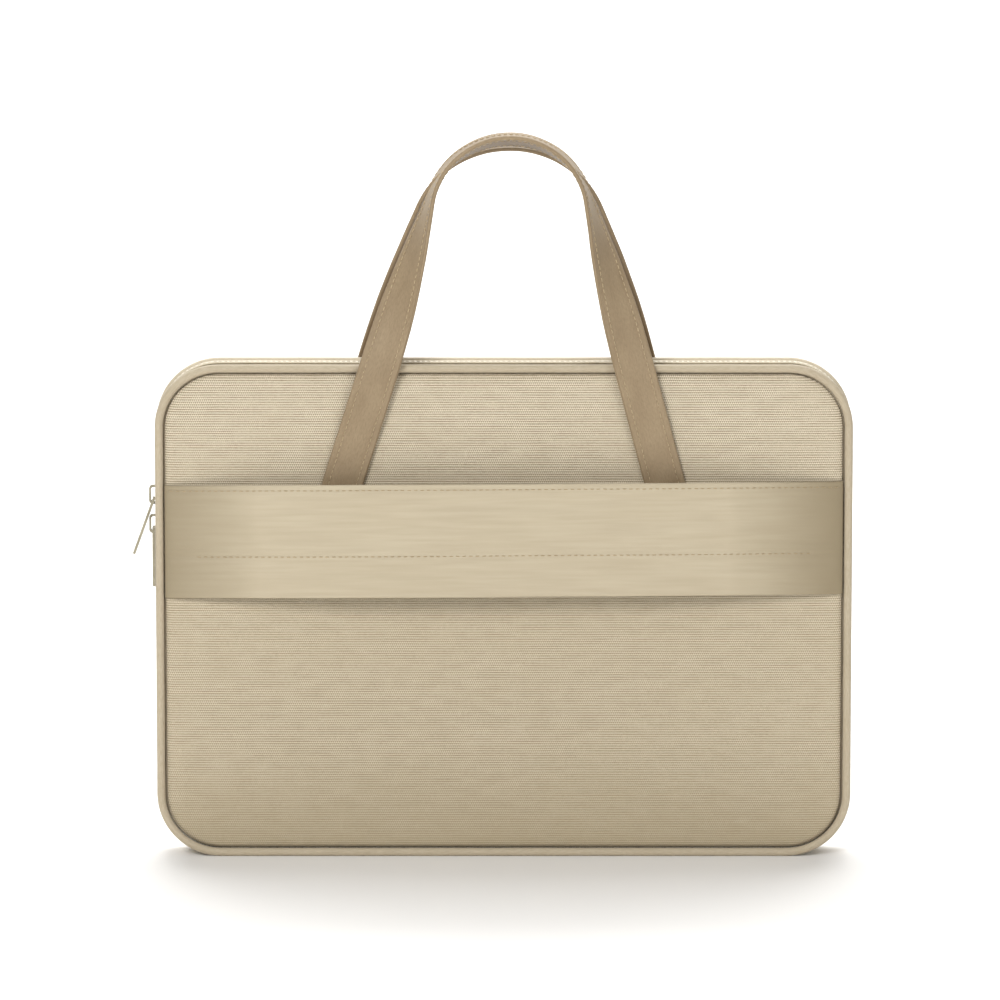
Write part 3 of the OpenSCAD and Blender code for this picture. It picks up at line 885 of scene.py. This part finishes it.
def strap_fabric():
    """Close, smooth band fabric with faint creases along it, with painted shade darkening it towards its
    sewn ends, more at the right one.
    """
    f = Finish("band_fabric", {"Sheen Weight": 0.15, "Sheen Roughness": 0.4, "IOR": 1.45})
    thread = f.math("MULTIPLY", f.wave(f.v, 0.5), f.wave(f.u, 0.55))
    crease = f.noise(40, 2.4, 2.0)
    fold = f.noise(70, 9, 2.0)
    height = f.math("ADD", f.math("MULTIPLY", thread, 0.12), f.math("MULTIPLY", crease, 0.8))
    height = f.math("ADD", height, f.math("MULTIPLY", fold, 1.6))
    colour = f.mix(f.spread(crease, 0.3, 0.7), srgb(181, 168, 143), srgb(190, 178, 153))
    cloud = f.spread(f.noise(60, 20), 0.35, 0.7)
    colour = f.mix(f.math("MULTIPLY", cloud, 0.25), colour, srgb(176, 162, 135))
    # Painted shade: the band darkens towards both ends where it turns into the panel, more on the right,
    # away from the key light.
    off_shade_centre = f.math("ABSOLUTE", f.math("ADD", f.u, 5))
    reach = f.math("ADD", off_shade_centre, f.math("MULTIPLY", f.noise(30, 30), 16))
    dull = f.math("MULTIPLY", f.spread(reach, 130, 186), 0.92)
    colour = f.mix(dull, colour, srgb(138, 124, 97))
    rough = f.math("MULTIPLY_ADD", crease, 0.15, 0.58)
    return f.done(colour, height, 0.14, rough)


def handle_fabric():
    """Smooth tan strap with a fine slanted grain, scuffed in places, with painted shade on its inner
    face.
    """
    f = Finish("handle_fabric", {"Sheen Weight": 0.15, "Sheen Roughness": 0.4, "IOR": 1.46})
    slant = f.wave(f.math("ADD", f.u, f.math("MULTIPLY", f.v, 0.8)), 0.7)
    fibre = f.noise(2.2, 0.8, 3.0)
    weave = f.math("ADD", f.math("MULTIPLY", slant, 0.25), f.math("MULTIPLY", fibre, 0.8))
    colour = f.mix(f.spread(weave, 0.25, 0.75), srgb(136, 117, 89), srgb(161, 141, 112))
    patchy = f.spread(f.noise(24, 10, 3.0), 0.35, 0.7)
    colour = f.mix(f.math("MULTIPLY", patchy, 0.4), colour, srgb(120, 100, 73))
    # Painted shade: the strap's inner face, the underside at the top of the loop, is darker, as if out
    # of the light from above.
    inner_face_shade = f.spread(f.v, HANDLE_W, HANDLE_W + 1.5)
    inner_face_shade = f.math("MULTIPLY", inner_face_shade, f.spread(f.v, 2 * HANDLE_W - 1.5, 2 * HANDLE_W - 3))
    colour = f.mix(f.math("MULTIPLY", inner_face_shade, 0.8), colour, srgb(106, 86, 61))
    return f.done(colour, weave, 0.06, f.math("MULTIPLY_ADD", fibre, 0.2, 0.5))


def bias_fabric(name, low, high, dull):
    """Smooth cloth cut on the bias, duller where it is worn."""
    f = Finish(name, {"Sheen Weight": 0.2, "Sheen Roughness": 0.4, "IOR": 1.45})
    slant = f.wave(f.math("ADD", f.u, f.v), 0.62)
    across = f.wave(f.math("SUBTRACT", f.u, f.v), 0.7)
    fibre = f.noise(3.2, 0.7, 3.0)
    weave = f.math("MULTIPLY_ADD", f.math("MULTIPLY", slant, across), 0.4, fibre)
    colour = f.mix(f.spread(weave, 0.3, 0.9), low, high)
    worn = f.spread(f.noise(14, 4, 2.0), 0.45, 0.75)
    colour = f.mix(f.math("MULTIPLY", worn, 0.2), colour, dull)
    return f.done(colour, weave, 0.06, f.math("MULTIPLY_ADD", fibre, 0.2, 0.55))


def lining_fabric():
    """Short brushed pile, stroked unevenly."""
    f = Finish("brushed_lining", {"Sheen Weight": 0.6, "Sheen Roughness": 0.35, "IOR": 1.4})
    pile = f.noise(0.5, 1.4, 4.0)
    stroke = f.noise(18, 40, 3.0)
    colour = f.mix(f.spread(pile, 0.3, 0.7), srgb(150, 141, 124), srgb(184, 175, 158))
    colour = f.mix(f.math("MULTIPLY", f.spread(stroke, 0.4, 0.65), 0.35), colour, srgb(196, 188, 172))
    return f.done(colour, pile, 0.25, f.math("MULTIPLY_ADD", stroke, 0.1, 0.85))


def foam():
    """Open foam with small cells."""
    f = Finish("foam", {"IOR": 1.4})
    place = f.add("CombineXYZ", {0: f.u, 1: f.v}).outputs[0]
    cell = f.add("TexVoronoi", {"Vector": place, "Scale": 1.4}).outputs["Distance"]
    colour = f.mix(f.spread(cell, 0.1, 0.6), srgb(176, 172, 162), srgb(232, 229, 220))
    return f.done(colour, cell, 0.2, f.math("MULTIPLY_ADD", f.noise(5, 5), 0.1, 0.85))


def tape_weave():
    """Herringbone zip tape."""
    f = Finish("zip_tape", {"Sheen Weight": 0.15, "IOR": 1.45})
    lean = f.math("PINGPONG", f.v, 1.2)
    twill = f.wave(f.math("ADD", f.u, lean), 0.7)
    fibre = f.noise(0.8, 0.8, 2.0)
    colour = f.mix(f.math("MULTIPLY_ADD", twill, 0.7, f.math("MULTIPLY", fibre, 0.3)),
                   srgb(172, 156, 126), srgb(214, 200, 172))
    return f.done(colour, twill, 0.08, f.math("MULTIPLY_ADD", fibre, 0.15, 0.7))


def nylon():
    """Smooth nylon wire of the zips, a little rubbed."""
    f = Finish("coil_nylon", {"IOR": 1.53, "Specular IOR Level": 0.5})
    rub = f.noise(6, 1, 3.0)
    colour = f.mix(f.spread(rub, 0.35, 0.7), srgb(186, 170, 140), srgb(214, 200, 172))
    return f.done(colour, rub, 0.03, f.math("MULTIPLY_ADD", rub, 0.2, 0.3))


def thread(name, low, high):
    """Twisted sewing thread between two colours."""
    f = Finish(name, {"Sheen Weight": 0.2, "IOR": 1.48})
    ply = f.wave(f.math("ADD", f.u, f.v), 0.45)
    colour = f.mix(f.math("MULTIPLY_ADD", ply, 0.6, f.math("MULTIPLY", f.noise(9, 9), 0.4)), low, high)
    return f.done(colour, ply, 0.05, f.math("MULTIPLY_ADD", ply, 0.1, 0.5))


def painted_metal():
    """Cast metal with a satin beige coat, paler where its edges have worn."""
    f = Finish("painted_metal", {"Metallic": 0.35, "IOR": 1.5, "Coat Weight": 0.15}, on_cloth=False)
    grain = f.noise(0.6, 0.6, 3.0)
    cloud = f.noise(5, 5, 3.0)
    colour = f.mix(f.spread(cloud, 0.3, 0.7), srgb(146, 139, 118), srgb(170, 163, 141))
    bevel = f.add("Bevel", {"Radius": 0.0006}, samples=4).outputs[0]
    flat = f.tree.nodes.new("ShaderNodeNewGeometry").outputs["Normal"]
    bend = f.add("VectorMath", {0: bevel, 1: flat}, operation="DOT_PRODUCT").outputs["Value"]
    worn = f.math("MULTIPLY", f.spread(bend, 0.995, 0.9), f.spread(grain, 0.35, 0.6))
    colour = f.mix(f.math("MULTIPLY", worn, 0.6), colour, srgb(204, 198, 182))
    return f.done(colour, grain, 0.02, f.math("MULTIPLY_ADD", cloud, 0.2, 0.32))


def floor_paint():
    """Pale matt floor."""
    f = Finish("pale_floor", {"IOR": 1.3}, on_cloth=False)
    cloud = f.noise(900, 900, 2.0)
    colour = f.mix(cloud, srgb(240, 239, 237), srgb(246, 245, 243))
    return f.done(colour, cloud, 0.01, f.math("MULTIPLY_ADD", cloud, 0.1, 0.8))


# Assembly


def over_fold(obj):
    """Bakes the piece's placement into its mesh."""
    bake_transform(obj)


def follow(obj, side):
    """Pieces of the rear ride on the shell, and those of the front have their placement baked into their
    meshes.
    """
    if side == REAR:
        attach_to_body(obj, "shell")
    else:
        over_fold(obj)


def attach(obj, side, *layers):
    """The piece stands for layers of its panel, which the CAD splits at the fold on the front."""
    parts = ("rear",) if side == REAR else ("flap", "lower_front")
    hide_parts(*(f"{part}_{layer}" for part in parts for layer in layers))
    follow(obj, side)


def build_panels(finish):
    """The pads and linings of both panels."""
    for side, title in SIDES:
        attach(pad(f"{title}_pad", side, finish["canvas"]), side, "canvas", "foam")
    for side, title in SIDES:
        attach(lining(f"{title}_lining_cloth", side, finish["lining"]), side, "lining")


def build_edges(finish):
    """Piping, gusset, flanges, facings, tapes and bindings."""
    # The front welt takes a paler copy of the piping cloth: painted light for the top edge, lit from
    # above and behind.
    for (side, title), cloth in zip(SIDES, ("piping", "painted_light_piping")):
        attach(welt(f"{title}_welt", side, finish[cloth]), side, "piping", "piping_cord")
    for obj, node in (
        (gusset_pad("gusset_pad", finish["foam"]), "lower_gusset_foam"),
        (gusset("gusset_cloth", finish["canvas"]), "lower_gusset"),
        (gusset_lining("gusset_lining", finish["lining"]), "lower_gusset_lining"),
    ):
        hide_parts(node)
        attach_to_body(obj, "shell")
    for side, title in ((-1, "left"), (1, "right")):
        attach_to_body(gusset_hem(f"gusset_{title}_hem", side, finish["canvas"]), "shell")
    for side, title in SIDES:
        follow(edge_strip(f"{title}_welt_flange", "full", side, FLANGE, finish["piping"]), side)
    for side, title in ((REAR, "rear"), (FRONT, "flap")):
        facing = edge_strip(f"{title}_facing", "upper", side, FACING, finish["facing"])
        tape = edge_strip(f"{title}_tape", "upper", side, TAPE, finish["tape"])
        teeth = main_coil(f"{title}_coil", side, finish["coil"])
        for obj, node in ((facing, "zip_facing"), (tape, "zip_tape"), (teeth, "zip_coil")):
            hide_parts(f"{title}_{node}")
        seam = facing_seam(f"{title}_facing_seam", side, finish["facing_thread"])
        for obj in (facing, tape, teeth, seam):
            follow(obj, side)
    for side, title in SIDES:
        binding = edge_strip(f"{title}_binding_tape", "full", side, BINDING, finish["tape"])
        attach(binding, side, "binding")


def facing_seam(name, side, material):
    """The row of stitches along a zip facing."""
    path = rim("upper", 1.3, 2.5)
    out = np.stack([path.nx, 0 * path.nx, path.nz], 1)
    return stitches(name, [(on_rim(path, 1.36, side * 6.9), out)], material, 2.8, 1.9, 0.22)


def build_strap(finish):
    """The trolley strap and its stitches."""
    strap = trolley_strap("trolley_band", finish["strap"])
    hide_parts("trolley_strap")
    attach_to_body(strap, "shell")
    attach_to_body(strap_seams("trolley_band_seams", finish["warm_thread"]), "shell")


def build_handles(finish):
    """Both carry handles and their stitches, built in place."""
    for title, handle, body in (("rear", REAR_HANDLE, "shell"), ("front", FRONT_HANDLE, "flap")):
        strap = handle_strap(f"{title}_handle_strap", handle, finish["handle"])
        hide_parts(f"{title}_handle_ends", f"{title}_handle_loop")
        seams = handle_seams(f"{title}_handle_seams", handle, finish["pale_thread"])
        for obj in (strap, seams):
            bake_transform(obj)


def build_pocket(finish):
    """The front pocket with its zip."""
    pieces = [pocket_cloth("pocket_cloth", finish["canvas"])]
    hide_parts("pocket_panel")
    pieces.append(pocket_seams("pocket_seams", finish["warm_thread"]))
    for up, title in ((1, "upper"), (-1, "lower")):
        tape = pocket_tape(f"pocket_{title}_tape", up, finish["tape"])
        teeth = pocket_coil(f"pocket_{title}_coil", up, finish["coil"])
        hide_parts("pocket_zip_tape")
        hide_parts("pocket_zip_coil")
        pieces += [tape, teeth]
    for obj in pieces:
        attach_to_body(obj, "flap")


def finish_metal(material):
    """Sliders, pulls and stops keep their CAD shapes, with their edges eased."""
    hard = [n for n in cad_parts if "slider" in n or "pull" in n or "stops" in n]
    for name in hard:
        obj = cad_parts[name]
        obj.data.materials.clear()
        obj.data.materials.append(material)
        bevel = obj.modifiers.new("Bevel", "BEVEL")
        bevel.width = 0.00022
        bevel.segments = 3
        bevel.limit_method = "ANGLE"
        bevel.angle_limit = math.radians(35)
        bevel.harden_normals = True


def light(name, place, aim, size, power):
    """A soft square white light, in metres and watts."""
    lamp = bpy.data.lights.new(name, "AREA")
    lamp.size = size
    lamp.energy = power
    obj = bpy.data.objects.new(name, lamp)
    bpy.context.scene.collection.objects.link(obj)
    obj.location = place
    direction = np.array(aim) - np.array(place)
    obj.rotation_euler = direction_to_euler(direction)


def direction_to_euler(direction):
    """Rotation that points an object's -Z axis along a direction, its Y axis upwards."""
    return Vector(direction).to_track_quat("-Z", "Y").to_euler()


def set_stage(material):
    """Pale floor under the sleeve's base."""
    mesh = bpy.data.meshes.new("floor")
    size = 20
    corners = [(-size, -size, 0), (size, -size, 0), (size, size, 0), (-size, size, 0)]
    mesh.from_pydata(corners, [], [(0, 1, 2, 3)])
    mesh.materials.append(material)
    floor = bpy.data.objects.new("floor", mesh)
    bpy.context.scene.collection.objects.link(floor)


def set_camera():
    """A long lens at the trolley side, a little above the sleeve."""
    rise, distance = math.radians(9.5), 3.995
    aim = np.array([-0.002, -HALF_D / 1000, 0.1906])
    camera = bpy.data.cameras.new("camera")
    camera.lens = 275
    camera.sensor_width = 36
    camera.clip_end = 100
    obj = bpy.data.objects.new("camera", camera)
    bpy.context.scene.collection.objects.link(obj)
    obj.location = aim + distance * np.array([0, -math.cos(rise), math.sin(rise)])
    obj.rotation_euler = direction_to_euler(aim - np.array(obj.location))
    bpy.context.scene.camera = obj


def set_lights():
    """Near-white surroundings, a broad key from above and softer fills."""
    world = bpy.data.worlds.new("studio")
    world.use_nodes = True
    background = world.node_tree.nodes["Background"]
    background.inputs["Color"].default_value = (1.0, 1.0, 1.0, 1)
    background.inputs["Strength"].default_value = 0.34
    bpy.context.scene.world = world
    middle = (0, 0, 0.17)
    light("key", (-0.9, -2.0, 1.35), middle, 0.9, 32)
    light("fill", (1.3, -1.7, 0.8), middle, 1.0, 8)
    light("top", (0, 0.7, 2.0), middle, 1.2, 25)
    light("floor_light", (0, 5.0, 3.5), (0, 5.0, 0), 6.0, 460)
    bpy.context.scene.view_settings.view_transform = "Standard"


FINISH = {
    "canvas": canvas(),
    "strap": strap_fabric(),
    "handle": handle_fabric(),
    "piping": bias_fabric(
        "bias_piping", srgb(171, 156, 130), srgb(192, 180, 157), srgb(163, 148, 121)
    ),
    # Paler copy of the piping cloth: painted light for the front welt along the lit top edge.
    "painted_light_piping": bias_fabric(
        "painted_light_piping", srgb(186, 172, 147), srgb(208, 197, 175), srgb(178, 164, 138)
    ),
    "facing": bias_fabric(
        "facing_cloth", srgb(198, 187, 163), srgb(220, 211, 190), srgb(190, 178, 154)
    ),
    "lining": lining_fabric(),
    "foam": foam(),
    "tape": tape_weave(),
    "coil": nylon(),
    "pale_thread": thread("pale_thread", srgb(164, 141, 104), srgb(206, 186, 150)),
    "facing_thread": thread("facing_thread", srgb(188, 176, 151), srgb(214, 204, 181)),
    "warm_thread": thread("warm_thread", srgb(140, 118, 84), srgb(196, 174, 138)),
}
build_panels(FINISH)
build_edges(FINISH)
build_strap(FINISH)
build_handles(FINISH)
build_pocket(FINISH)
finish_metal(painted_metal())
set_stage(floor_paint())
set_lights()
set_camera()
